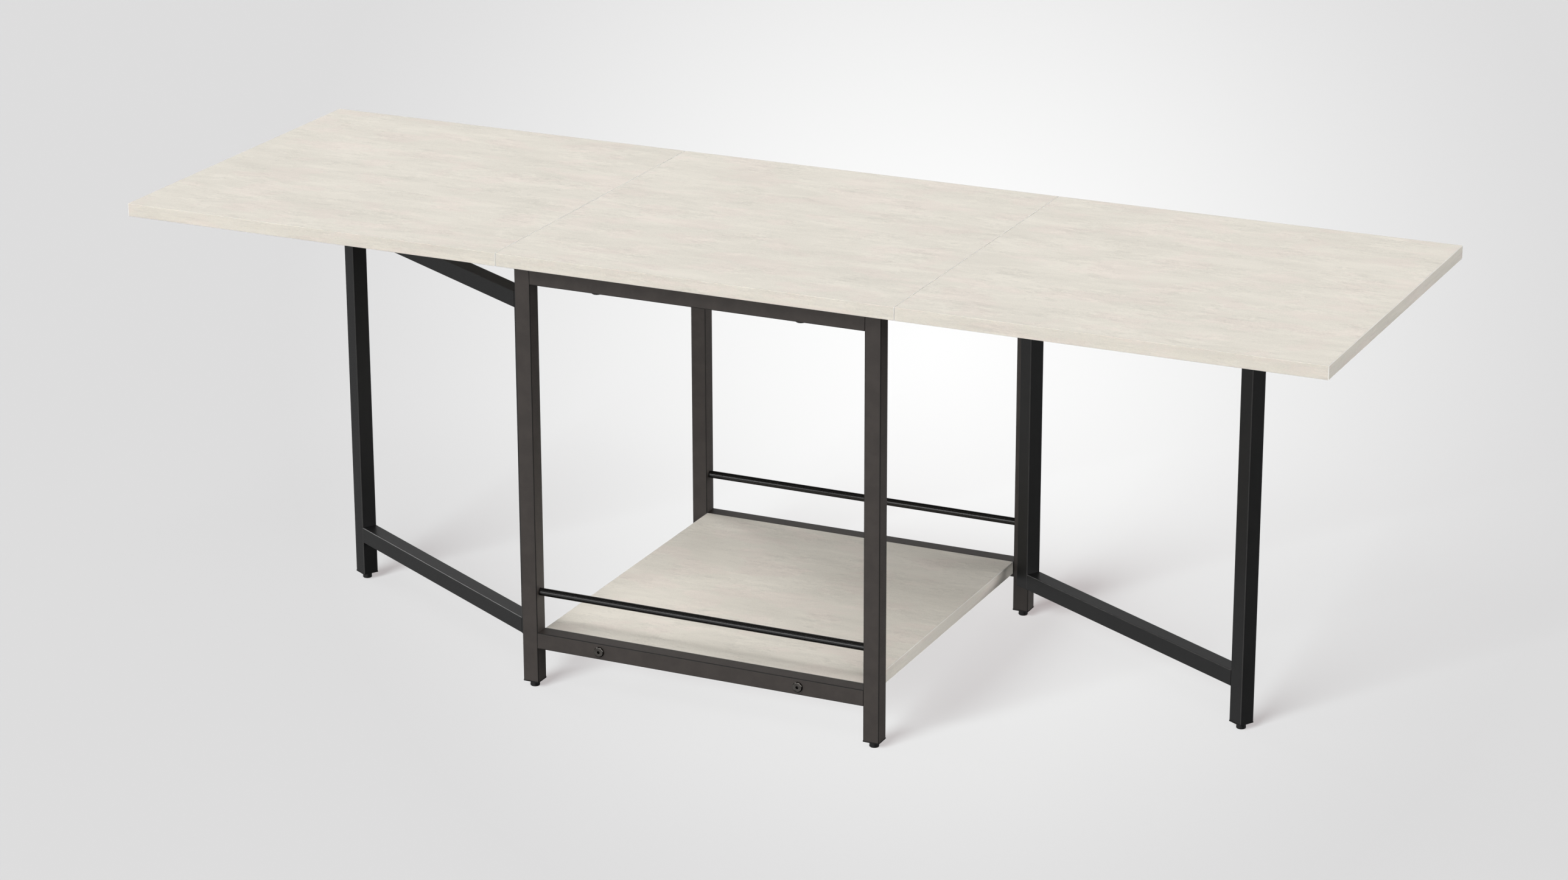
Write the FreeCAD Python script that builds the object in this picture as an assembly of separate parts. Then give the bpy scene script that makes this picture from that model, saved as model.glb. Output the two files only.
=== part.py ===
import FreeCAD, Part
import math
import os

from FreeCAD import Matrix, Placement, Rotation, Vector

# A drop-leaf table: a square-tube frame with a shelf, a fixed centre top, two hinged leaves,
# and two swinging gates that stand under the leaves.
# Millimetres. X runs along the table, Y from front to back, Z up. The origin is on the floor
# under the middle of the table. The leaves are up and the gates stand open.

# Table top
TABLE_HEIGHT = 752.0
TABLE_WIDTH = 690.0
CENTRE_LENGTH = 700.0  # between the two seam lines
LEAF_LENGTH = 700.0  # from a seam line to the table's end
TOP_THICKNESS = 22.0
SEAM_GAP = 0.6
BAND_THICKNESS = 2.0  # plastic strip glued round the edges of a panel
BAND_JOINT = 0.05  # hairline between two strips at a corner
EDGE_ROUND = 0.6  # along the top and bottom of a panel's edge
CORNER_ROUND = 1.2  # down a panel's corners

# Square tube of the frame and the gates
TUBE = 28.0
TUBE_WALL = 1.5
TUBE_CORNER = 1.6
LEAST_CORNER = 0.2

# Frame
FRAME_END_INSET = 27.0  # from a seam line to the outer faces of the legs
FRAME_SIDE_INSET = 12.0  # from the top's long edge to the outer faces of the legs
LOWER_RAIL_BOTTOM = 72.0
ROD_DIAMETER = 13.0
ROD_HEIGHT = 169.0
SHELF_THICKNESS = 22.0
SHELF_END_GAP = 1.0  # from the shelf's end to a closed gate

# Feet and the plugs that close the ends of the tubes
FOOT_HEIGHT = 11.0
FOOT_DIAMETER = 16.4
FOOT_TOP_DIAMETER = 15.0
FOOT_ROUND = 1.5
STUD_DIAMETER = 6.0
STUD_LENGTH = 22.0
STUD_CLEARANCE = 0.05
PLUG_FLANGE = 1.5
PLUG_LIP = 0.6  # by which a leg's plug stands out past the tube
PLUG_DEPTH = 24.0
PLUG_CLEARANCE = 0.1
PAD_FLANGE = 3.0  # soft cap on top of a gate's outer leg
PAD_CLEARANCE = 0.3  # from the cap to the underside of the leaf

# Gates
GATE_HINGE_GAP = 10.0  # between the frame's leg and the gate's post
GATE_FREE_GAP = 14.0  # between the frame's other leg and the closed gate's outer leg
GATE_TOP_DROP = 60.0  # from the underside of the table top to the gate's upper rail
GATE_HINGE_INSET = 60.0  # from the end of the post to the middle of a hinge
STOP_LENGTH = 40.0
STOP_WIDTH = 16.0
STOP_HEIGHT = 10.0
STOP_SINK = 5.0  # depth of the pocket for a screw head
STOP_CLEARANCE = 0.3

# Hinges of the gates and of the leaves
HINGE_LENGTH = 60.0
HINGE_PLATE = 2.0
KNUCKLE_RADIUS = 3.0
HINGE_PIN = 3.0
PIN_CLEARANCE = 0.05
KNUCKLE_CLEARANCE = 0.3
GATE_PLATE_WIDTH = 28.0
LEAF_PLATE_WIDTH = 32.0
LEAF_SCREW_OFFSET = 20.0  # from the pin to the row of screws
LEAF_HINGE_INSET = 135.0  # from the top's long edge to the middle of an outer hinge
HINGE_SCREW_PITCH = 40.0

# Screws of the hinges and the stops
SCREW_DIAMETER = 4.0
SCREW_CLEARANCE = 0.05
SCREW_PASS = 0.2  # play of a screw in a hinge plate
SCREW_HEAD = 7.5
SCREW_HEAD_HEIGHT = 2.0
SCREW_HEAD_ROUND = 1.0
SCREW_SOCKET = 2.5
SCREW_SOCKET_DEPTH = 1.2
METAL_SCREW_LENGTH = 8.0
WOOD_SCREW_LENGTH = 16.0

# Connecting bolts and the threaded inserts they screw into
BOLT_DIAMETER = 6.0
BOLT_PASS = 0.25  # play of a bolt in the rail
BOLT_HEAD = 17.5
BOLT_HEAD_HEIGHT = 3.5
BOLT_HEAD_ROUND = 1.8
BOLT_SOCKET = 5.0
BOLT_SOCKET_DEPTH = 2.2
BOLT_INSET = 115.0  # from the inner face of a leg to a bolt
BOLT_TIP_GAP = 1.0
INSERT_DIAMETER = 10.0
INSERT_LENGTH = 14.0
INSERT_CLEARANCE = 0.05
HOLE_END_GAP = 1.0  # a blind hole runs this much past what it holds

FLATNESS = 0.01  # edges this close in height count as level
HINGE_WAYS = {"fixed": 1, "moving": -1}  # the side of the pin that each half of a hinge is on

# Places that follow from the sizes
TUBE_BORE = TUBE - 2 * TUBE_WALL
BORE_CORNER = max(TUBE_CORNER - TUBE_WALL, LEAST_CORNER)
UNDERSIDE = TABLE_HEIGHT - TOP_THICKNESS
SEAM_X = CENTRE_LENGTH / 2
FRAME_LENGTH = CENTRE_LENGTH - 2 * FRAME_END_INSET
FRAME_DEPTH = TABLE_WIDTH - 2 * FRAME_SIDE_INSET
LEG_X = FRAME_LENGTH / 2 - TUBE / 2
LEG_Y = FRAME_DEPTH / 2 - TUBE / 2
INSIDE_X = LEG_X - TUBE / 2
INSIDE_Y = LEG_Y - TUBE / 2
LOWER_RAIL_Z = LOWER_RAIL_BOTTOM + TUBE / 2
SHELF_TOP = LOWER_RAIL_BOTTOM + TUBE
GATE_TOP = UNDERSIDE - GATE_TOP_DROP
POST_Y = INSIDE_Y - GATE_HINGE_GAP - TUBE / 2
OUTER_LEG_Y = -INSIDE_Y + GATE_FREE_GAP + TUBE / 2
GATE_PIN_X = FRAME_LENGTH / 2 + KNUCKLE_RADIUS
GATE_PIN_Y = INSIDE_Y - GATE_HINGE_GAP / 2
LEAF_PIN_Z = UNDERSIDE - KNUCKLE_RADIUS
LEAF_HINGE_Y = TABLE_WIDTH / 2 - LEAF_HINGE_INSET
BOLT_X = INSIDE_X - BOLT_INSET

# An open gate's outer leg stands on the table's middle line
ARM_X = LEG_X - GATE_PIN_X
ARM_Y = OUTER_LEG_Y - GATE_PIN_Y
CLOSED_ANGLE = math.atan2(ARM_Y, ARM_X)
OPEN_ANGLE = -math.asin(GATE_PIN_Y / math.hypot(ARM_X, ARM_Y))
GATE_SWING = math.degrees(OPEN_ANGLE - CLOSED_ANGLE)

UP = Vector(0, 0, 1)
SWUNG_OPEN = Placement(Vector(), Rotation(UP, GATE_SWING), Vector(GATE_PIN_X, GATE_PIN_Y, 0))
HALF_TURN = Placement(Vector(), Rotation(UP, 180))
SIDES = {"right": Placement(), "left": HALF_TURN}


def moved(shape, placement):
    copy = shape.copy()
    copy.Placement = placement.multiply(copy.Placement)
    return copy


def all_moved(shapes, placement):
    return [moved(shape, placement) for shape in shapes]


def facing(start, direction):
    """The placement that takes the origin to start and +Z to direction."""
    return Placement(Vector(*start), Rotation(UP, Vector(*direction)))


def box(x, y, z):
    """A block between the two limits given for each axis."""
    size = [high - low for low, high in (x, y, z)]
    return Part.makeBox(*size, Vector(x[0], y[0], z[0]))


def edges_along(shape, axis):
    found = []
    for edge in shape.Edges:
        ends = edge.Vertexes
        way = ends[-1].Point - ends[0].Point
        if abs(way.dot(Vector(*axis))) > 0.999 * way.Length:
            found.append(edge)
    return found


def lowest_edges(shape):
    bottom = shape.BoundBox.ZMin + FLATNESS
    return [edge for edge in shape.Edges if edge.BoundBox.ZMax < bottom]


def level_edges(shape):
    return [edge for edge in shape.Edges if edge.BoundBox.ZLength < FLATNESS]


def bar(width, corner, length):
    """A square bar along +Z from the origin, with rounded long edges."""
    half = width / 2
    block = box((-half, half), (-half, half), (0, length))
    return block.makeFillet(corner, edges_along(block, (0, 0, 1)))


def tube(start, direction, length):
    bore = bar(TUBE_BORE, BORE_CORNER, length)
    return moved(bar(TUBE, TUBE_CORNER, length).cut(bore), facing(start, direction))


def hexagon(across_flats, depth):
    """A hexagonal pocket from the origin up."""
    radius = across_flats / 2 / math.cos(math.radians(30))
    turns = [math.radians(60 * k) for k in range(7)]
    corners = [Vector(radius * math.cos(turn), radius * math.sin(turn), 0) for turn in turns]
    return Part.Face(Part.makePolygon(corners)).extrude(Vector(0, 0, depth))


def fastener(diameter, length, head, head_height, head_round, socket, socket_depth):
    """A bolt or screw along +Z with the seat of its head at the origin."""
    cap = Part.makeCylinder(head / 2, head_height, Vector(0, 0, -head_height))
    cap = cap.makeFillet(head_round, lowest_edges(cap))
    cap = cap.cut(moved(hexagon(socket, socket_depth), facing((0, 0, -head_height), (0, 0, 1))))
    tip = diameter / 4
    shank = Part.makeCylinder(diameter / 2, length - tip)
    point = Part.makeCone(diameter / 2, diameter / 2 - tip, tip, Vector(0, 0, length - tip))
    return cap.fuse([shank, point]).removeSplitter()


def bolt(length):
    return fastener(
        BOLT_DIAMETER,
        length,
        BOLT_HEAD,
        BOLT_HEAD_HEIGHT,
        BOLT_HEAD_ROUND,
        BOLT_SOCKET,
        BOLT_SOCKET_DEPTH,
    )


def screw(length):
    return fastener(
        SCREW_DIAMETER,
        length,
        SCREW_HEAD,
        SCREW_HEAD_HEIGHT,
        SCREW_HEAD_ROUND,
        SCREW_SOCKET,
        SCREW_SOCKET_DEPTH,
    )


def screw_hole(length):
    """The hole that a screw bites into."""
    return Part.makeCylinder(SCREW_DIAMETER / 2 + SCREW_CLEARANCE, length + HOLE_END_GAP)


def insert():
    body = Part.makeCylinder(INSERT_DIAMETER / 2, INSERT_LENGTH)
    return body.cut(Part.makeCylinder(BOLT_DIAMETER / 2 + INSERT_CLEARANCE, INSERT_LENGTH))


def insert_hole():
    return Part.makeCylinder(INSERT_DIAMETER / 2 + INSERT_CLEARANCE, INSERT_LENGTH + HOLE_END_GAP)


def bolt_hole():
    return Part.makeCylinder(BOLT_DIAMETER / 2 + BOLT_PASS, TUBE)


def plug(flange, lip):
    """A tube-end plug: its flange lies below the origin's plane and its body goes up the tube.
    The flange is as wide as the tube and a lip on each side."""
    body = bar(TUBE_BORE - 2 * PLUG_CLEARANCE, BORE_CORNER, PLUG_DEPTH)
    cap = bar(TUBE + 2 * lip, TUBE_CORNER + lip, flange)
    cap = moved(cap, facing((0, 0, -flange), (0, 0, 1)))
    return body.fuse(cap).removeSplitter()


def foot_plug():
    """A plug for the bottom of a leg, bored for a foot's stud."""
    radius = STUD_DIAMETER / 2 + STUD_CLEARANCE
    bore = Part.makeCylinder(radius, PLUG_FLANGE + PLUG_DEPTH, Vector(0, 0, -PLUG_FLANGE))
    return plug(PLUG_FLANGE, PLUG_LIP).cut(bore)


def foot():
    """A screw-in foot on the floor at the origin, a little wider at its bottom."""
    pad = Part.makeCone(FOOT_DIAMETER / 2, FOOT_TOP_DIAMETER / 2, FOOT_HEIGHT)
    pad = pad.makeFillet(FOOT_ROUND, lowest_edges(pad))
    stud = Part.makeCylinder(STUD_DIAMETER / 2, STUD_LENGTH, Vector(0, 0, FOOT_HEIGHT))
    return pad.fuse(stud).removeSplitter()


def panel(x, y, z, band_sides):
    """A board split into its core and its edge strips, which are on all sides or on the ends only.
    The edges that have a strip are rounded."""
    whole = box(x, y, z)
    if band_sides:
        whole = whole.makeFillet(CORNER_ROUND, edges_along(whole, (0, 0, 1)))
        whole = whole.makeFillet(EDGE_ROUND, level_edges(whole))
    else:
        whole = whole.makeFillet(EDGE_ROUND, edges_along(whole, (0, 1, 0)))
    inner_x = (x[0] + BAND_THICKNESS, x[1] - BAND_THICKNESS)
    inner_y = y
    end_y = y
    strips = []
    if band_sides:
        inner_y = (y[0] + BAND_THICKNESS, y[1] - BAND_THICKNESS)
        end_y = (inner_y[0] + BAND_JOINT, inner_y[1] - BAND_JOINT)
        strips = [(x, (y[0], inner_y[0])), (x, (inner_y[1], y[1]))]
    strips += [((x[0], inner_x[0]), end_y), ((inner_x[1], x[1]), end_y)]
    core = whole.common(box(inner_x, inner_y, z))
    return core, [whole.common(box(*strip, z)) for strip in strips]


def knuckles(half):
    """The lengths of a hinge's knuckles along its pin: the outer two, or the middle one."""
    end = HINGE_LENGTH / 2
    middle = HINGE_LENGTH / 6
    gap = KNUCKLE_CLEARANCE / 2
    if half == "fixed":
        return [(-end, -middle - gap), (middle + gap, end)]
    return [(-middle + gap, middle - gap)]


def at_hinge_screws(half, shape, offset):
    """A copy of a shape, made along +Z, at each screw of one half of a hinge."""
    face = -KNUCKLE_RADIUS + HINGE_PLATE
    y = HINGE_WAYS[half] * offset
    heights = (-HINGE_SCREW_PITCH / 2, HINGE_SCREW_PITCH / 2)
    return [moved(shape, facing((face, y, z), (-1, 0, 0))) for z in heights]


def hinge_plate(half, width, screw_offset):
    """One half of a butt hinge. The pin is on the Z axis and the plates lie on the plane
    x = -KNUCKLE_RADIUS, the fixed one towards +Y and the moving one towards -Y."""
    depth = (-KNUCKLE_RADIUS, -KNUCKLE_RADIUS + HINGE_PLATE)
    near = KNUCKLE_RADIUS + KNUCKLE_CLEARANCE
    way = HINGE_WAYS[half]
    end = HINGE_LENGTH / 2
    plate = box(depth, sorted((way * near, way * width)), (-end, end))
    for low, high in knuckles(half):
        neck = box(depth, sorted((0, way * near)), (low, high))
        barrel = Part.makeCylinder(KNUCKLE_RADIUS, high - low, Vector(0, 0, low))
        plate = plate.fuse([neck, barrel])
    plate = plate.removeSplitter()
    pin_hole = Part.makeCylinder(HINGE_PIN / 2 + PIN_CLEARANCE, HINGE_LENGTH, Vector(0, 0, -end))
    screw_hole_in_plate = Part.makeCylinder(SCREW_DIAMETER / 2 + SCREW_PASS, HINGE_PLATE)
    return plate.cut([pin_hole] + at_hinge_screws(half, screw_hole_in_plate, screw_offset))


def hinge_pin():
    return Part.makeCylinder(HINGE_PIN / 2, HINGE_LENGTH, Vector(0, 0, -HINGE_LENGTH / 2))


nodes = {}


def add(name, *shapes):
    nodes.setdefault(name, []).extend(shapes)


# Holes for the gate hinges, in the closed right gate's place
gate_hinge_places = [
    Placement(Vector(GATE_PIN_X, GATE_PIN_Y, z), Rotation())
    for z in (LOWER_RAIL_BOTTOM + GATE_HINGE_INSET, GATE_TOP - GATE_HINGE_INSET)
]
gate_screw_offset = GATE_HINGE_GAP / 2 + TUBE / 2
metal_hole = screw_hole(METAL_SCREW_LENGTH)
leg_holes = []
post_holes = []
for place in gate_hinge_places:
    leg_holes += all_moved(at_hinge_screws("fixed", metal_hole, gate_screw_offset), place)
    post_holes += all_moved(at_hinge_screws("moving", metal_hole, gate_screw_offset), place)

# Legs of the frame, with their plugs and feet
leg_bottom = FOOT_HEIGHT + PLUG_FLANGE
legs = {"front_left": (-1, -1), "front_right": (1, -1), "rear_left": (-1, 1), "rear_right": (1, 1)}
hinge_legs = {"rear_right": Placement(), "front_left": HALF_TURN}
for name, (way_x, way_y) in legs.items():
    x = way_x * LEG_X
    y = way_y * LEG_Y
    leg = tube((x, y, leg_bottom), (0, 0, 1), UNDERSIDE - leg_bottom)
    if name in hinge_legs:
        leg = leg.cut(all_moved(leg_holes, hinge_legs[name]))
    add("leg_" + name, leg)
    add("leg_plugs", moved(foot_plug(), facing((x, y, leg_bottom), (0, 0, 1))))
    add("foot_" + name, moved(foot(), facing((x, y, 0), (0, 0, 1))))

# Rails and rods of the front and rear end frames, and the bolts through the rails
bolt_length = TUBE + INSERT_LENGTH - BOLT_TIP_GAP
top_insert_holes = []
shelf_insert_holes = []
for name, way in (("front", -1), ("rear", 1)):
    y = way * LEG_Y
    top_rail = tube((-INSIDE_X, y, UNDERSIDE - TUBE / 2), (1, 0, 0), 2 * INSIDE_X)
    lower_rail = tube((-INSIDE_X, y, LOWER_RAIL_Z), (1, 0, 0), 2 * INSIDE_X)
    for x in (-BOLT_X, BOLT_X):
        upward = facing((x, y, UNDERSIDE - TUBE), (0, 0, 1))
        inward = facing((x, way * FRAME_DEPTH / 2, LOWER_RAIL_Z), (0, -way, 0))
        past_rail = facing((0, 0, TUBE), (0, 0, 1))
        top_rail = top_rail.cut(moved(bolt_hole(), upward))
        lower_rail = lower_rail.cut(moved(bolt_hole(), inward))
        add("top_bolts", moved(bolt(bolt_length), upward))
        add("shelf_bolts", moved(bolt(bolt_length), inward))
        add("top_inserts", moved(insert(), upward.multiply(past_rail)))
        add("shelf_inserts", moved(insert(), inward.multiply(past_rail)))
        top_insert_holes.append(moved(insert_hole(), upward.multiply(past_rail)))
        shelf_insert_holes.append(moved(insert_hole(), inward.multiply(past_rail)))
    add("top_rail_" + name, top_rail)
    add("lower_rail_" + name, lower_rail)
    rod = Part.makeCylinder(ROD_DIAMETER / 2, 2 * INSIDE_X)
    add("guard_rod_" + name, moved(rod, facing((-INSIDE_X, y, ROD_HEIGHT), (1, 0, 0))))

# Shelf between the two lower rails
shelf_half = INSIDE_X - SHELF_END_GAP
shelf, shelf_bands = panel(
    (-shelf_half, shelf_half),
    (-INSIDE_Y, INSIDE_Y),
    (SHELF_TOP - SHELF_THICKNESS, SHELF_TOP),
    False,
)
add("shelf", shelf.cut(shelf_insert_holes))
add("shelf_bands", *shelf_bands)

# Leaf hinges under the right seam, turned so that their plates lie against the underside
lay_flat = Placement(Matrix(0, -1, 0, 0, 0, 0, 1, 0, -1, 0, 0, 0, 0, 0, 0, 1))
leaf_hinge_places = [
    Placement(Vector(SEAM_X, y, LEAF_PIN_Z), Rotation()).multiply(lay_flat)
    for y in (-LEAF_HINGE_Y, 0, LEAF_HINGE_Y)
]
wood_screw = screw(WOOD_SCREW_LENGTH)
wood_hole = screw_hole(WOOD_SCREW_LENGTH)
centre_plate = hinge_plate("fixed", LEAF_PLATE_WIDTH, LEAF_SCREW_OFFSET)
centre_screws = at_hinge_screws("fixed", wood_screw, LEAF_SCREW_OFFSET)
leaf_plate = hinge_plate("moving", LEAF_PLATE_WIDTH, LEAF_SCREW_OFFSET)
leaf_screws = at_hinge_screws("moving", wood_screw, LEAF_SCREW_OFFSET)
centre_holes = []
leaf_holes = []
for place in leaf_hinge_places:
    centre_holes += all_moved(at_hinge_screws("fixed", wood_hole, LEAF_SCREW_OFFSET), place)
    leaf_holes += all_moved(at_hinge_screws("moving", wood_hole, LEAF_SCREW_OFFSET), place)

# Centre top
width = (-TABLE_WIDTH / 2, TABLE_WIDTH / 2)
height = (UNDERSIDE, TABLE_HEIGHT)
centre_half = SEAM_X - SEAM_GAP / 2
centre, centre_bands = panel((-centre_half, centre_half), width, height, True)
centre = centre.cut(top_insert_holes)
for turn in SIDES.values():
    centre = centre.cut(all_moved(centre_holes, turn))
add("centre_top", centre)
add("centre_bands", *centre_bands)

# Stop block under the right leaf, against the open gate's outer leg
stop_x = FRAME_LENGTH / 2 + STOP_CLEARANCE
stop_y = (OUTER_LEG_Y - STOP_LENGTH / 2, OUTER_LEG_Y + STOP_LENGTH / 2)
stop = box((stop_x, stop_x + STOP_WIDTH), stop_y, (UNDERSIDE - STOP_HEIGHT, UNDERSIDE))
stop = stop.makeFillet(EDGE_ROUND, edges_along(stop, (0, 0, 1)))
stop_screw_places = [
    facing((stop_x + STOP_WIDTH / 2, y, UNDERSIDE - STOP_HEIGHT + STOP_SINK), (0, 0, 1))
    for y in (OUTER_LEG_Y - STOP_LENGTH / 4, OUTER_LEG_Y + STOP_LENGTH / 4)
]
for place in stop_screw_places:
    pocket = Part.makeCylinder(SCREW_HEAD / 2 + SCREW_PASS, STOP_SINK, Vector(0, 0, -STOP_SINK))
    stop = stop.cut([moved(pocket, place), moved(wood_hole, place)])
stop_screws = [moved(wood_screw, place) for place in stop_screw_places]
stop_holes = [moved(wood_hole, place) for place in stop_screw_places]
leaf_holes += all_moved(stop_holes, SWUNG_OPEN)

# Leaves
leaf_x = (SEAM_X + SEAM_GAP / 2, SEAM_X + LEAF_LENGTH)
leaf, leaf_bands = panel(leaf_x, width, height, True)
leaf = leaf.cut(leaf_holes)
for side, turn in SIDES.items():
    add(side + "_leaf", moved(leaf, turn))
    add(side + "_leaf_bands", *all_moved(leaf_bands, turn))
    add(side + "_gate_stop", moved(moved(stop, SWUNG_OPEN), turn))
    add(side + "_leaf_screws", *all_moved(all_moved(stop_screws, SWUNG_OPEN), turn))
    for place in leaf_hinge_places:
        here = turn.multiply(place)
        add("leaf_hinge_centre_plates", moved(centre_plate, here))
        add("leaf_hinge_centre_screws", *all_moved(centre_screws, here))
        add("leaf_hinge_pins", moved(hinge_pin(), here))
        add(side + "_leaf_hinge_plates", moved(leaf_plate, here))
        add(side + "_leaf_screws", *all_moved(leaf_screws, here))

# Gates, made closed in the right gate's place and then swung open
post_bottom = LOWER_RAIL_BOTTOM + PLUG_FLANGE
post_length = GATE_TOP - LOWER_RAIL_BOTTOM - 2 * PLUG_FLANGE
outer_leg_top = UNDERSIDE - PAD_CLEARANCE - PAD_FLANGE
rail_start = OUTER_LEG_Y + TUBE / 2
rail_length = POST_Y - OUTER_LEG_Y - TUBE
post = tube((LEG_X, POST_Y, post_bottom), (0, 0, 1), post_length).cut(post_holes)
outer_leg = tube((LEG_X, OUTER_LEG_Y, leg_bottom), (0, 0, 1), outer_leg_top - leg_bottom)
upper_rail = tube((LEG_X, rail_start, GATE_TOP - TUBE / 2), (0, 1, 0), rail_length)
lower_rail = tube((LEG_X, rail_start, LOWER_RAIL_Z), (0, 1, 0), rail_length)
post_plugs = [
    moved(plug(PLUG_FLANGE, 0), facing((LEG_X, POST_Y, post_bottom), (0, 0, 1))),
    moved(plug(PLUG_FLANGE, 0), facing((LEG_X, POST_Y, post_bottom + post_length), (0, 0, -1))),
]
top_pad = moved(plug(PAD_FLANGE, 0), facing((LEG_X, OUTER_LEG_Y, outer_leg_top), (0, 0, -1)))
outer_foot_plug = moved(foot_plug(), facing((LEG_X, OUTER_LEG_Y, leg_bottom), (0, 0, 1)))
outer_foot = moved(foot(), facing((LEG_X, OUTER_LEG_Y, 0), (0, 0, 1)))
metal_screw = screw(METAL_SCREW_LENGTH)
leg_plate = hinge_plate("fixed", GATE_PLATE_WIDTH, gate_screw_offset)
leg_screws = at_hinge_screws("fixed", metal_screw, gate_screw_offset)
gate_plate = hinge_plate("moving", GATE_PLATE_WIDTH, gate_screw_offset)
gate_screws = at_hinge_screws("moving", metal_screw, gate_screw_offset)
for side, turn in SIDES.items():
    opened = turn.multiply(SWUNG_OPEN)
    gate = side + "_gate_"
    add(gate + "post", moved(post, opened))
    add(gate + "outer_leg", moved(outer_leg, opened))
    add(gate + "upper_rail", moved(upper_rail, opened))
    add(gate + "lower_rail", moved(lower_rail, opened))
    add(gate + "post_plugs", *all_moved(post_plugs, opened))
    add(gate + "top_pad", moved(top_pad, opened))
    add(gate + "foot_plug", moved(outer_foot_plug, opened))
    add(gate + "foot", moved(outer_foot, opened))
    for place in gate_hinge_places:
        still = turn.multiply(place)
        swung = opened.multiply(place)
        add("gate_hinge_leg_plates", moved(leg_plate, still))
        add("gate_hinge_leg_screws", *all_moved(leg_screws, still))
        add("gate_hinge_pins", moved(hinge_pin(), still))
        add(gate + "hinge_plates", moved(gate_plate, swung))
        add(gate + "hinge_screws", *all_moved(gate_screws, swung))

os.makedirs("parts", exist_ok=True)
for name, shapes in nodes.items():
    shape = shapes[0] if len(shapes) == 1 else Part.makeCompound(shapes)
    shape.exportStep("parts/" + name + ".step")
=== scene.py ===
import math

import bpy
from mathutils import Matrix, Vector

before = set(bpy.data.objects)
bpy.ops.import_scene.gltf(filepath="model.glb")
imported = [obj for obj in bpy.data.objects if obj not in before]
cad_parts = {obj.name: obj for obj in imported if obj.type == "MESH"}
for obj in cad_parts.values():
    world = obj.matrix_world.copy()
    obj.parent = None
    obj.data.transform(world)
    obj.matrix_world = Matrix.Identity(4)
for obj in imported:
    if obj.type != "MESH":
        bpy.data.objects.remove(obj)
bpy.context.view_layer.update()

# A drop-leaf table with its leaves up, on a pale studio floor. Metres, in the part's own frame.

# Camera
CAMERA_AIM = Vector((0.0007, -0.0006, 0.3765))
CAMERA_DISTANCE = 7.0483
CAMERA_AZIMUTH = math.radians(25.123)  # from the front towards +X
CAMERA_ELEVATION = math.radians(19.109)
CAMERA_ROLL = math.radians(-0.139)
FOCAL_LENGTH = 96.72  # millimetres
SENSOR_WIDTH = 36.0  # millimetres

# Light: wide soft panels and walls, far off all round. The middle of a panel is in degrees round from +X,
# with half its width, and its lowest and highest edges are in degrees up.
PANELS = {
    "left": dict(middle=188, half_width=38, low=28, high=33.5, brightness=14.6),
    "left rear": dict(middle=165, half_width=20, low=22, high=32, brightness=10.3),
    "front": dict(middle=275, half_width=25, low=50, high=60, brightness=7.5),
    "front right": dict(middle=305, half_width=20, low=54, high=70, brightness=5.7),
    "front low": dict(middle=275, half_width=35, low=2, high=20, brightness=5.2),
    "right low": dict(middle=15, half_width=30, low=2, high=20, brightness=5.6),
    "back wall": dict(middle=115, half_width=60, low=2, high=20, brightness=1.2),
    "floor front": dict(middle=235, half_width=50, low=-40, high=-2, brightness=0.75),
    "floor left": dict(middle=150, half_width=50, low=-40, high=-2, brightness=0.33),
    "floor right": dict(middle=65, half_width=40, low=-40, high=-2, brightness=0.2),
}
PANEL_SOFTNESS = 3  # degrees, on each side of a panel's edge
BACKDROP = (0.72, 0.72, 0.72, 1)  # beyond the floor

# Floor
FLOOR_HALF = 40.0
FLOOR_DROP = 0.0005
FLOOR_COLOUR = 0.06
FLOOR_ROUGHNESS = 0.9
FLOOR_TONE = 0.665  # how light it is far from the table, without the studio's light
POOL_GLOW = 0.277  # what the painted round pool of light adds in its middle, as if from a lamp in front of the table
# where the painted pool of light seems to come from; no lamp stands there
PAINTED_POOL_FROM = Vector((2.828, -6.030, 2.684))
POOL_CENTRE = Vector((-0.438, 1.690, 0))
POOL_RIM = 0.156  # radians from the pool's middle to its rim, as seen from where the painted pool seems to come from
POOL_CORE = 0.006  # and to where it starts to fade
POOL_STRAIGHT = 0.5  # this share of the fade is straight, and the rest is smooth

# Soft suns that light the floor alone. Each gives a share of the floor's tone, and only the pieces with one
# of its words in their names shade it. Azimuth, round from +X, height and width are in degrees.
SUN_COLOUR = (0.94, 1.03, 1.03)
FLOOR_SUNS = {
    "legs": dict(share=0.26, azimuth=257, height=30, width=30, words=("leg", "foot", "plug")),
    "shelf": dict(share=0.16, azimuth=243, height=17, width=24, words=("shelf", "lower_rail_")),
    "gate rails": dict(share=0.12, azimuth=288, height=17, width=26, words=("gate_lower_rail",)),
}

# Boards
BOARDS = {  # each board and its edge strips, which carry the same print
    "centre_top": "centre_bands",
    "left_leaf": "left_leaf_bands",
    "right_leaf": "right_leaf_bands",
    "shelf": "shelf_bands",
}
BOARD_SHIFT = (3.7, 1.9, 0.6)  # between the prints of two boards
BOARD_LIGHT = (0.828, 0.778, 0.699, 1)
BOARD_DARK = (0.672, 0.632, 0.567, 1)
BOARD_PINK = (1.013, 0.993, 0.997, 1)
BOARD_GREEN = (0.995, 1.003, 0.997, 1)
BOARD_TONE = 0.64  # from dark to light
LEDGE_STEP = (0.0006, 0.0035, 0.0035)  # how wide the torn edges of a coat are
JOINT_WIDTH = 0.0011  # dark line where a board meets its edge strips
JOINT_COLOUR = (0.42, 0.40, 0.37, 1)
JOINT_STRENGTH = 0.9
STRIP_SHADE = 0.07  # how much of that colour is in the faces of a strip
STRIP_PAINTED_HIGHLIGHT = (0.93, 0.91, 0.87, 1)  # painted highlight on the rounded edges at the ends of a board
STRIP_SQUEEZE = 3  # the print on a strip is finer in height
STRIP_DEPTH = 0.0012  # how far light goes into the plastic
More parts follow.
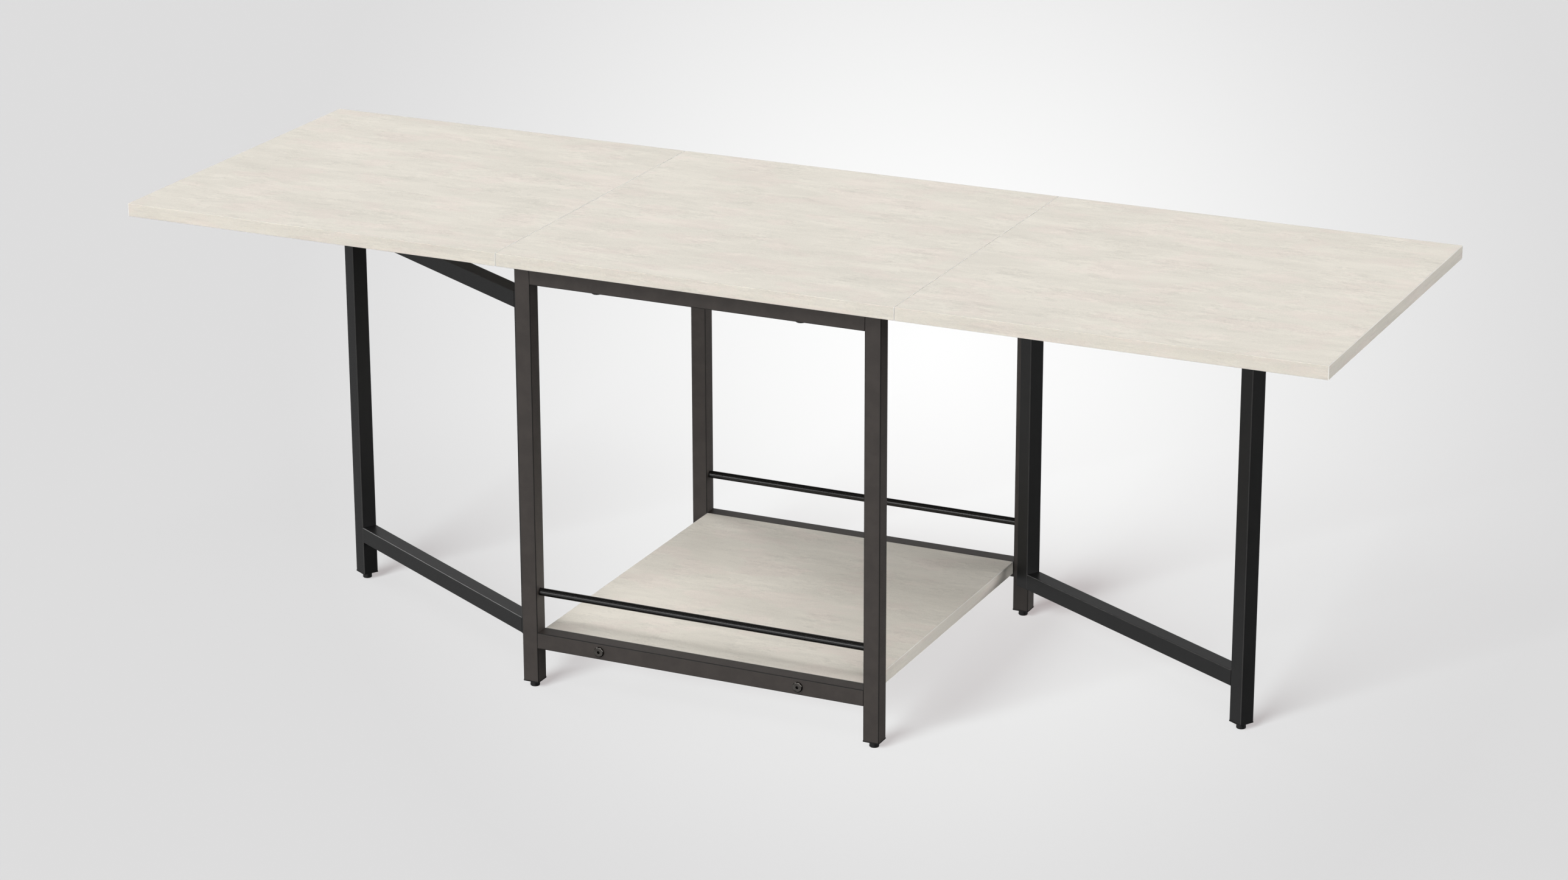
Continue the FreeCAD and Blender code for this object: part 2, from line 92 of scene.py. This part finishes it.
STRIP_DEPTH_SHARES = (1.0, 0.95, 0.88)  # red, green and blue
STRIP_GLOW = 0.5  # how much of the light goes in

# Metal and plastic
GATE_SWING = math.radians(60.375)  # the gates stand at this angle to the frame
FRAME_BROWN = (0.041, 0.034, 0.030, 1)
# painted shade: the dark line along the rounded edges of the frame's tubes
FRAME_EDGE_SHADE = (0.004, 0.0035, 0.003, 1)
GATE_BLACK = (0.0062, 0.0062, 0.0064, 1)
# painted highlight: the light line along the rounded edges of the gates' tubes
GATE_EDGE_HIGHLIGHT = (0.040, 0.039, 0.038, 1)
ROD_BLACK = (0.004, 0.0038, 0.0036, 1)
PLASTIC_BLACK = (0.005, 0.005, 0.005, 1)
PAD_BLACK = (0.012, 0.012, 0.012, 1)
PAD_DUST = (0.035, 0.034, 0.033, 1)
HINGE_BRIGHT = (0.60, 0.60, 0.61, 1)
HINGE_DULL = (0.42, 0.41, 0.40, 1)
SCREW_BRIGHT = (0.56, 0.55, 0.53, 1)
SCREW_DULL = (0.38, 0.36, 0.33, 1)
BOLT_BRIGHT = (0.100, 0.094, 0.087, 1)
BOLT_DULL = (0.068, 0.063, 0.058, 1)
INSERT_BRIGHT = (0.58, 0.50, 0.32, 1)
INSERT_DULL = (0.42, 0.36, 0.24, 1)
COAT_PEEL = 0.00005  # depth of the orange peel on the tubes
ROD_PEEL = 0.00001
WORN_EDGE = 0.0006  # width of the bright edges of bare metal
HOLLOW_SHADE_REACH = 0.005  # how deep a hollow has to be to get painted shade

# Shading
BEVEL_SAMPLES = 6
HOLLOW_SHADE_SAMPLES = 8
FLAT = 0.995  # cosine of the lean up to which a face counts as flat


class Graph:
    """Short calls for building a node tree."""

    def __init__(self, tree):
        self.tree = tree
        tree.nodes.clear()

    def feed(self, socket, value):
        """Links a socket to another one, or sets it to a plain value."""
        if isinstance(value, bpy.types.NodeSocket):
            self.tree.links.new(value, socket)
        else:
            socket.default_value = value

    def node(self, kind, inputs=(), **settings):
        made = self.tree.nodes.new("ShaderNode" + kind)
        for name, value in settings.items():
            setattr(made, name, value)
        for key, value in dict(inputs).items():
            self.feed(made.inputs[key], value)
        return made

    def math(self, operation, a, b=0.0, clamp=False):
        return self.node("Math", {0: a, 1: b}, operation=operation, use_clamp=clamp).outputs[0]

    def vector(self, operation, a, b=(0, 0, 0)):
        return self.node("VectorMath", {0: a, 1: b}, operation=operation).outputs[0]

    def dot(self, a, b):
        return self.node("VectorMath", {0: a, 1: b}, operation="DOT_PRODUCT").outputs["Value"]

    def split(self, place):
        """The X, Y and Z of a place or direction."""
        return self.node("SeparateXYZ", {0: place}).outputs

    def joined(self, x, y, z):
        return self.node("CombineXYZ", {0: x, 1: y, 2: z}).outputs[0]

    def between(self, value, low, high, start=0.0, end=1.0):
        """A smooth step from start to end as the value goes from low to high."""
        inputs = {"Value": value, "From Min": low, "From Max": high, "To Min": start, "To Max": end}
        return self.node("MapRange", inputs, interpolation_type="SMOOTHSTEP").outputs[0]

    def mix(self, factor, a, b, blend="MIX"):
        made = self.node("Mix", {0: factor, 6: a, 7: b}, data_type="RGBA", blend_type=blend)
        return made.outputs[2]

    def toned(self, colour, tone):
        """A colour made darker or lighter by a factor."""
        grey = self.node("CombineColor", {0: tone, 1: tone, 2: tone}).outputs[0]
        return self.mix(1.0, colour, grey, "MULTIPLY")

    def noise(self, place, scale, detail=2.0, roughness=0.5):
        inputs = {"Vector": place, "Scale": scale, "Detail": detail, "Roughness": roughness}
        return self.node("TexNoise", inputs).outputs[0]

    def shift(self, place, scale, reach):
        """A place moved about by noise."""
        swirl = self.node("TexNoise", {"Vector": place, "Scale": scale, "Detail": 2.0}).outputs["Color"]
        push = self.vector("SUBTRACT", swirl, (0.5, 0.5, 0.5))
        return self.vector("ADD", place, self.vector("MULTIPLY", push, (reach, reach, reach)))

    def streaked(self, place, squeeze):
        """A place squeezed in Y and Z, so that a pattern there runs along X."""
        return self.vector("MULTIPLY", place, (1.0, squeeze, squeeze))

    def bump(self, height, depth):
        return self.node("Bump", {"Height": height, "Distance": depth, "Strength": 1.0}).outputs[0]

    def place(self):
        return self.node("TexCoord").outputs["Object"]

    def facing(self):
        """The direction that a face looks in, in the piece's own frame."""
        return self.node("TexCoord").outputs["Normal"]

    def facing_ends(self):
        """How far a face looks along X, one way or the other, from 0 to 1."""
        return self.math("ABSOLUTE", self.split(self.facing())[0])

    def bevelled(self, radius):
        """The direction that a face would look in if its edges were rounded."""
        return self.node("Bevel", {"Radius": radius}, samples=BEVEL_SAMPLES).outputs[0]

    def edges(self, radius):
        """1 on the edges of a piece, 0 on its flat faces."""
        flat = self.node("NewGeometry").outputs["Normal"]
        return self.between(self.dot(self.bevelled(radius), flat), FLAT, 0.90)

    def long_edges(self, radius):
        """1 on the edges of a board that run along X, 0 on the rest of its top and bottom."""
        lean = self.math("ABSOLUTE", self.split(self.bevelled(radius))[1])
        return self.between(lean, 0.10, 0.45)

    def painted_hollow_shade(self, reach):
        """Painted shade: 1 on the open faces of a piece, near 0 at the bottom of its holes and sockets."""
        free = self.node("AmbientOcclusion", {"Distance": reach}, samples=HOLLOW_SHADE_SAMPLES, only_local=True)
        return self.between(free.outputs["AO"], 0.52, 0.90, 0.05, 1.0)

    def corners(self, turn=0):
        """1 on the rounded edges of square pieces that stand turned about Z, 0 on their faces."""
        square = self.node("VectorRotate", {"Vector": self.facing(), "Angle": -turn}, rotation_type="Z_AXIS")
        x, y, z = self.split(self.vector("ABSOLUTE", square.outputs[0]))
        most = self.math("MAXIMUM", self.math("MAXIMUM", x, y), z)
        return self.between(most, FLAT, 0.94)


def material(name):
    """A new material with an undressed shader."""
    made = bpy.data.materials.new(name)
    made.use_nodes = True
    graph = Graph(made.node_tree)
    shader = graph.node("BsdfPrincipled")
    output = graph.node("OutputMaterial")
    graph.feed(output.inputs["Surface"], shader.outputs[0])
    return made, graph, shader


def dress(graph, shader, **inputs):
    """Sets a shader's inputs by their names, with spaces written as underscores."""
    for name, value in inputs.items():
        graph.feed(shader.inputs[name.replace("_", " ")], value)


def board_place(graph, squeeze):
    """Places for the print, squeezed in height. Each board takes another part of it, and it runs along
    each strip."""
    number = graph.node("ObjectInfo").outputs["Object Index"]
    shift = graph.joined(number, number, number)
    squeezed = graph.vector("MULTIPLY", graph.place(), (1, 1, squeeze))
    along_x = graph.vector("ADD", squeezed, graph.vector("MULTIPLY", BOARD_SHIFT, shift))
    x, y, z = graph.split(along_x)
    along_y = graph.joined(y, x, z)
    is_end = graph.math("GREATER_THAN", graph.facing_ends(), 0.8)
    return graph.node("Mix", {0: is_end, 4: along_x, 5: along_y}, data_type="VECTOR").outputs[1]


def plaster_layers(graph, place):
    """The ragged steps of two coats of plaster, from 0 to 2."""
    level = graph.noise(graph.streaked(place, 2.6), scale=8.0, detail=8.0, roughness=0.70)
    return graph.math("ADD", graph.between(level, 0.44, 0.49), graph.between(level, 0.53, 0.58))


def board_print(graph, squeeze):
    """The printed colour of a board, like trowelled plaster, with its tone and grain."""
    place = board_place(graph, squeeze)
    loose = graph.shift(graph.shift(place, scale=12.0, reach=0.020), scale=150.0, reach=0.008)
    blotches = graph.noise(graph.streaked(loose, 2.4), scale=4.5, detail=4.0, roughness=0.55)
    smears = graph.noise(graph.streaked(loose, 4.4), scale=6.5, detail=6.0, roughness=0.62)
    strokes = graph.noise(graph.streaked(loose, 5.5), scale=6.5, detail=3.0)
    layers = plaster_layers(graph, loose)
    below = plaster_layers(graph, graph.vector("ADD", loose, LEDGE_STEP))
    ledges = graph.math("SUBTRACT", below, layers)
    strong = graph.between(graph.noise(loose, scale=14.0), 0.42, 0.62, 0.25, 1.0)
    crumbs = graph.noise(place, scale=170.0, detail=5.0, roughness=0.80)
    grain = graph.noise(place, scale=480.0, roughness=0.6)
    pits = graph.math("MULTIPLY", graph.between(crumbs, 0.50, 0.38), graph.between(layers, 0.4, 1.2))
    tone = BOARD_TONE
    for part, amount in (
        (graph.math("SUBTRACT", blotches, 0.5), 0.85),
        (graph.math("SUBTRACT", smears, 0.5), 1.15),
        (graph.math("SUBTRACT", grain, 0.5), 1.10),
        (graph.between(strokes, 0.57, 0.70), 0.20),
        (graph.math("MULTIPLY", ledges, strong), 0.39),
        (pits, -0.24),
    ):
        tone = graph.math("ADD", tone, graph.math("MULTIPLY", part, amount))
    tone = graph.math("MINIMUM", graph.math("MAXIMUM", tone, 0.0), 1.0)
    warmth = graph.noise(graph.streaked(loose, 1.6), scale=11.0, detail=3.0)
    tint = graph.mix(graph.between(warmth, 0.48, 0.62), BOARD_GREEN, BOARD_PINK)
    colour = graph.mix(tone, BOARD_DARK, BOARD_LIGHT)
    return graph.mix(1.0, colour, tint, "MULTIPLY"), tone, grain


def board():
    """A board's printed face: pale trowelled streaks along the length, with a fine grain."""
    made, graph, shader = material("board")
    colour, tone, grain = board_print(graph, squeeze=1)
    height = graph.math("ADD", graph.math("MULTIPLY", tone, 0.3), grain)
    joint = graph.math("MULTIPLY", graph.long_edges(JOINT_WIDTH), JOINT_STRENGTH)
    dress(
        graph, shader, Base_Color=graph.mix(joint, colour, JOINT_COLOUR), Specular_IOR_Level=0.25,
        Roughness=graph.between(tone, 0.0, 1.0, 0.58, 0.48), Normal=graph.bump(height, depth=0.00006),
    )
    return made


def edge_band():
    """The plastic edge strip, printed as the board is, with a slightly smoother skin."""
    made, graph, shader = material("edge_band")
    colour, _, grain = board_print(graph, STRIP_SQUEEZE)
    corners = graph.corners()
    colour = graph.mix(graph.between(corners, 0.0, 1.0, STRIP_SHADE, 0.0), colour, JOINT_COLOUR)
    # painted highlight: the rounded edges at the ends of a board are made paler
    pale = graph.math("MULTIPLY", corners, graph.between(graph.facing_ends(), 0.05, 0.30))
    dress(
        graph, shader, Base_Color=graph.mix(pale, colour, STRIP_PAINTED_HIGHLIGHT), Specular_IOR_Level=0.3,
        Roughness=graph.between(grain, 0.3, 0.7, 0.50, 0.42), Normal=graph.bump(grain, depth=0.00004),
        Subsurface_Weight=STRIP_GLOW, Subsurface_Radius=STRIP_DEPTH_SHARES, Subsurface_Scale=STRIP_DEPTH,
    )
    return made


def paint(name, colour, painted_edge_shading, roughness, gloss, peel_depth, turn=0):
    """Powder coat on tubes that stand turned about Z: a fine orange peel, faint mottling, and the edge
    colour along the rounded edges, painted shade where it is darker and a painted highlight where it is
    lighter."""
    made, graph, shader = material(name)
    place = graph.place()
    mottle = graph.noise(place, scale=35.0, detail=4.0, roughness=0.6)
    peel = graph.noise(place, scale=900.0)
    pimples = graph.noise(place, scale=2600.0, detail=1.0)
    body = graph.toned(colour, graph.between(mottle, 0.3, 0.7, 0.88, 1.10))
    # painted edge line along the rounded edges: shade on the frame, a highlight on the gates
    edge = graph.math("MULTIPLY", graph.corners(turn), graph.between(mottle, 0.25, 0.6, 0.8, 1.0))
    height = graph.math("ADD", peel, graph.math("MULTIPLY", pimples, 0.35))
    dress(
        graph, shader, Base_Color=graph.mix(edge, body, painted_edge_shading), Specular_IOR_Level=gloss,
        Roughness=graph.between(peel, 0.3, 0.7, roughness - 0.05, roughness + 0.05),
        Normal=graph.bump(height, peel_depth),
    )
    return made


def plastic(name, colour, roughness):
    """Moulded plastic with a fine spark-eroded skin."""
    made, graph, shader = material(name)
    place = graph.place()
    skin = graph.noise(place, scale=2200.0, detail=3.0, roughness=0.6)
    flow = graph.noise(place, scale=60.0, detail=3.0)
    body = graph.toned(colour, graph.between(flow, 0.3, 0.7, 0.8, 1.2))
    dress(
        graph, shader, Base_Color=body, Specular_IOR_Level=0.30,
        Roughness=graph.between(skin, 0.3, 0.7, roughness - 0.06, roughness + 0.08),
        Normal=graph.bump(skin, depth=0.00003),
    )
    return made


def soft_pad():
    """Dense rubber with a dusty, matt skin."""
    made, graph, shader = material("soft_pad")
    place = graph.place()
    dust = graph.noise(place, scale=140.0, detail=4.0, roughness=0.65)
    pores = graph.noise(place, scale=1500.0)
    dress(
        graph, shader, Base_Color=graph.mix(dust, PAD_BLACK, PAD_DUST), Specular_IOR_Level=0.3,
        Roughness=graph.between(dust, 0.3, 0.7, 0.75, 0.9), Normal=graph.bump(pores, depth=0.00008),
    )
    return made


def metal(name, bright, dull, roughness, spots):
    """Plated metal: a drawn grain, duller spots, brighter edges and painted shade in its hollows. Spots is
    the scale of the noise that makes the spots."""
    made, graph, shader = material(name)
    place = graph.place()
    drawn_out = graph.vector("MULTIPLY", place, (1.0, 1.0, 14.0))
    drawn = graph.noise(drawn_out, scale=420.0, detail=3.0, roughness=0.6)
    bloom = graph.between(graph.noise(place, spots, detail=4.0, roughness=0.6), 0.40, 0.68)
    colour = graph.mix(bloom, bright, dull)
    colour = graph.mix(graph.math("MULTIPLY", graph.edges(WORN_EDGE), 0.5), colour, bright)
    # painted shade: darker at the bottom of holes and sockets
    colour = graph.toned(colour, graph.painted_hollow_shade(HOLLOW_SHADE_REACH))
    rough = graph.math("ADD", graph.math("MULTIPLY", bloom, 0.14), graph.math("MULTIPLY", drawn, 0.10))
    dress(
        graph, shader, Base_Color=colour, Metallic=1.0,
        Roughness=graph.math("ADD", rough, roughness - 0.1), Normal=graph.bump(drawn, depth=0.00002),
    )
    return made


def finishes():
    """The material of each slot of the record."""
    return {
        "board": board(),
        "edge_band": edge_band(),
        "frame_paint": paint(
            "frame_paint", FRAME_BROWN, FRAME_EDGE_SHADE, roughness=0.52, gloss=0.35, peel_depth=COAT_PEEL,
        ),
        "gate_paint": paint(
            "gate_paint", GATE_BLACK, GATE_EDGE_HIGHLIGHT, roughness=0.42, gloss=0.30, peel_depth=COAT_PEEL,
            turn=GATE_SWING,
        ),
        "rod_paint": paint(
            "rod_paint", ROD_BLACK, ROD_BLACK, roughness=0.27, gloss=0.5, peel_depth=ROD_PEEL,
        ),
        "black_plastic": plastic("black_plastic", PLASTIC_BLACK, roughness=0.42),
        "soft_pad": soft_pad(),
        "hinge_steel": metal("hinge_steel", HINGE_BRIGHT, HINGE_DULL, roughness=0.34, spots=90.0),
        "screw_steel": metal("screw_steel", SCREW_BRIGHT, SCREW_DULL, roughness=0.36, spots=260.0),
        "black_steel": metal("black_steel", BOLT_BRIGHT, BOLT_DULL, roughness=0.20, spots=180.0),
        "insert_steel": metal("insert_steel", INSERT_BRIGHT, INSERT_DULL, roughness=0.38, spots=240.0),
    }


def dress_nodes(by_slot):
    """Gives each node the finish of its slot, and each board a number that its strips share."""
    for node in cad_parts.values():
        for spot, old in enumerate(node.data.materials):
            node.data.materials[spot] = by_slot[old.name]
    for number, names in enumerate(BOARDS.items()):
        for name in names:
            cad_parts[name].pass_index = number


def view_axes():
    """The camera's right, up and backward directions."""
    level = math.cos(CAMERA_ELEVATION)
    back = Vector((
        math.sin(CAMERA_AZIMUTH) * level,
        -math.cos(CAMERA_AZIMUTH) * level,
        math.sin(CAMERA_ELEVATION),
    ))
    right = Vector((math.cos(CAMERA_AZIMUTH), math.sin(CAMERA_AZIMUTH), 0))
    turn = Matrix.Rotation(CAMERA_ROLL, 3, back)
    right = turn @ right
    return right, back.cross(right), back


def add_camera():
    right, up, back = view_axes()
    lens = bpy.data.cameras.new("camera")
    lens.sensor_width = SENSOR_WIDTH
    lens.lens = FOCAL_LENGTH
    lens.clip_end = 4 * FLOOR_HALF
    camera = bpy.data.objects.new("camera", lens)
    place = Matrix((right, up, back)).transposed().to_4x4()
    place.translation = CAMERA_AIM + back * CAMERA_DISTANCE
    camera.matrix_world = place
    bpy.context.scene.collection.objects.link(camera)
    bpy.context.scene.camera = camera


def floor_glow(graph):
    """The floor's own light: an even tone and a painted round pool of light behind the table."""
    towards = graph.vector("NORMALIZE", graph.vector("SUBTRACT", graph.place(), PAINTED_POOL_FROM))
    off_axis = graph.vector("SUBTRACT", towards, (POOL_CENTRE - PAINTED_POOL_FROM).normalized())
    away = graph.node("VectorMath", {0: off_axis}, operation="LENGTH").outputs["Value"]
    inside = graph.math("SUBTRACT", POOL_RIM, away, clamp=True)
    straight = graph.math("MULTIPLY", inside, POOL_STRAIGHT / (POOL_RIM - POOL_CORE))
    smooth = graph.between(away, POOL_RIM, POOL_CORE, 0.0, 1 - POOL_STRAIGHT)
    # painted light: a round pool of light on the floor's glow
    pool = graph.math("ADD", straight, smooth)
    suns = sum(sun["share"] for sun in FLOOR_SUNS.values())
    plain = [FLOOR_TONE - suns * part for part in SUN_COLOUR]
    return graph.vector("ADD", graph.vector("MULTIPLY", pool, [POOL_GLOW] * 3), plain)


def add_floor():
    """A pale floor that glows, and doesn't light the table or show in its gloss."""
    corners = [(-1, -1), (1, -1), (1, 1), (-1, 1)]
    mesh = bpy.data.meshes.new("floor")
    points = [(x * FLOOR_HALF, y * FLOOR_HALF, -FLOOR_DROP) for x, y in corners]
    mesh.from_pydata(points, [], [(0, 1, 2, 3)])
    floor = bpy.data.objects.new("floor", mesh)
    bpy.context.scene.collection.objects.link(floor)
    made, graph, shader = material("floor")
    dress(
        graph, shader, Base_Color=[FLOOR_COLOUR] * 3 + [1], Roughness=FLOOR_ROUGHNESS,
        Specular_IOR_Level=0.0, Emission_Color=floor_glow(graph), Emission_Strength=1.0,
    )
    mesh.materials.append(made)
    floor.visible_glossy = False
    floor.visible_diffuse = False
    return floor


def add_floor_sun(kind, lit, share, azimuth, height, width, words):
    """A soft sun that adds its share of tone to the lit things, shaded by the pieces that its words name."""
    lamp = bpy.data.lights.new(kind, "SUN")
    lamp.energy = share * math.pi / FLOOR_COLOUR / math.sin(math.radians(height))
    lamp.color = SUN_COLOUR
    lamp.angle = math.radians(width)
    sun = bpy.data.objects.new(kind, lamp)
    sun.rotation_euler = (math.radians(90 - height), 0, math.radians(azimuth + 90))
    bpy.context.scene.collection.objects.link(sun)
    shading = bpy.data.collections.new(kind)
    for name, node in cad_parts.items():
        if any(word in name for word in words):
            shading.objects.link(node)
    sun.light_linking.receiver_collection = lit
    sun.light_linking.blocker_collection = shading


def add_floor_suns(floor):
    lit = bpy.data.collections.new("lit by the floor suns")
    lit.objects.link(floor)
    for kind, sun in FLOOR_SUNS.items():
        add_floor_sun(kind, lit, **sun)


def panel_glow(graph, flat, height, middle, half_width, low, high, brightness):
    """The light of one panel in a direction, given as its flat heading and the sine of its height."""
    heading = Vector((math.cos(math.radians(middle)), math.sin(math.radians(middle)), 0))
    outer = math.cos(math.radians(half_width + PANEL_SOFTNESS))
    inner = math.cos(math.radians(half_width - PANEL_SOFTNESS))
    across = graph.between(graph.dot(flat, heading), outer, inner)
    inside = brightness
    for edge, way in ((low, 1), (high, -1)):
        start = math.sin(math.radians(edge - way * PANEL_SOFTNESS))
        end = math.sin(math.radians(edge + way * PANEL_SOFTNESS))
        inside = graph.math("MULTIPLY", graph.between(height, start, end), inside)
    return graph.math("MULTIPLY", across, inside)


def add_world():
    """The panels light the table, and a plain pale backdrop shows beyond the floor."""
    world = bpy.data.worlds.new("studio")
    world.use_nodes = True
    bpy.context.scene.world = world
    graph = Graph(world.node_tree)
    towards = graph.node("TexCoord").outputs["Generated"]
    height = graph.split(towards)[2]
    flat = graph.vector("NORMALIZE", graph.vector("MULTIPLY", towards, (1, 1, 0)))
    glow = 0.0
    for panel in PANELS.values():
        glow = graph.math("ADD", glow, panel_glow(graph, flat, height, **panel))
    panels = graph.node("Background", {"Color": (1, 1, 1, 1), "Strength": glow})
    backdrop = graph.node("Background", {"Color": BACKDROP, "Strength": 1.0})
    seen = graph.node("LightPath").outputs["Is Camera Ray"]
    sky = graph.node("MixShader", {0: seen, 1: panels.outputs[0], 2: backdrop.outputs[0]})
    output = graph.node("OutputWorld")
    graph.feed(output.inputs["Surface"], sky.outputs[0])


bpy.context.scene.view_settings.view_transform = "Standard"
dress_nodes(finishes())
add_camera()
add_floor_suns(add_floor())
add_world()
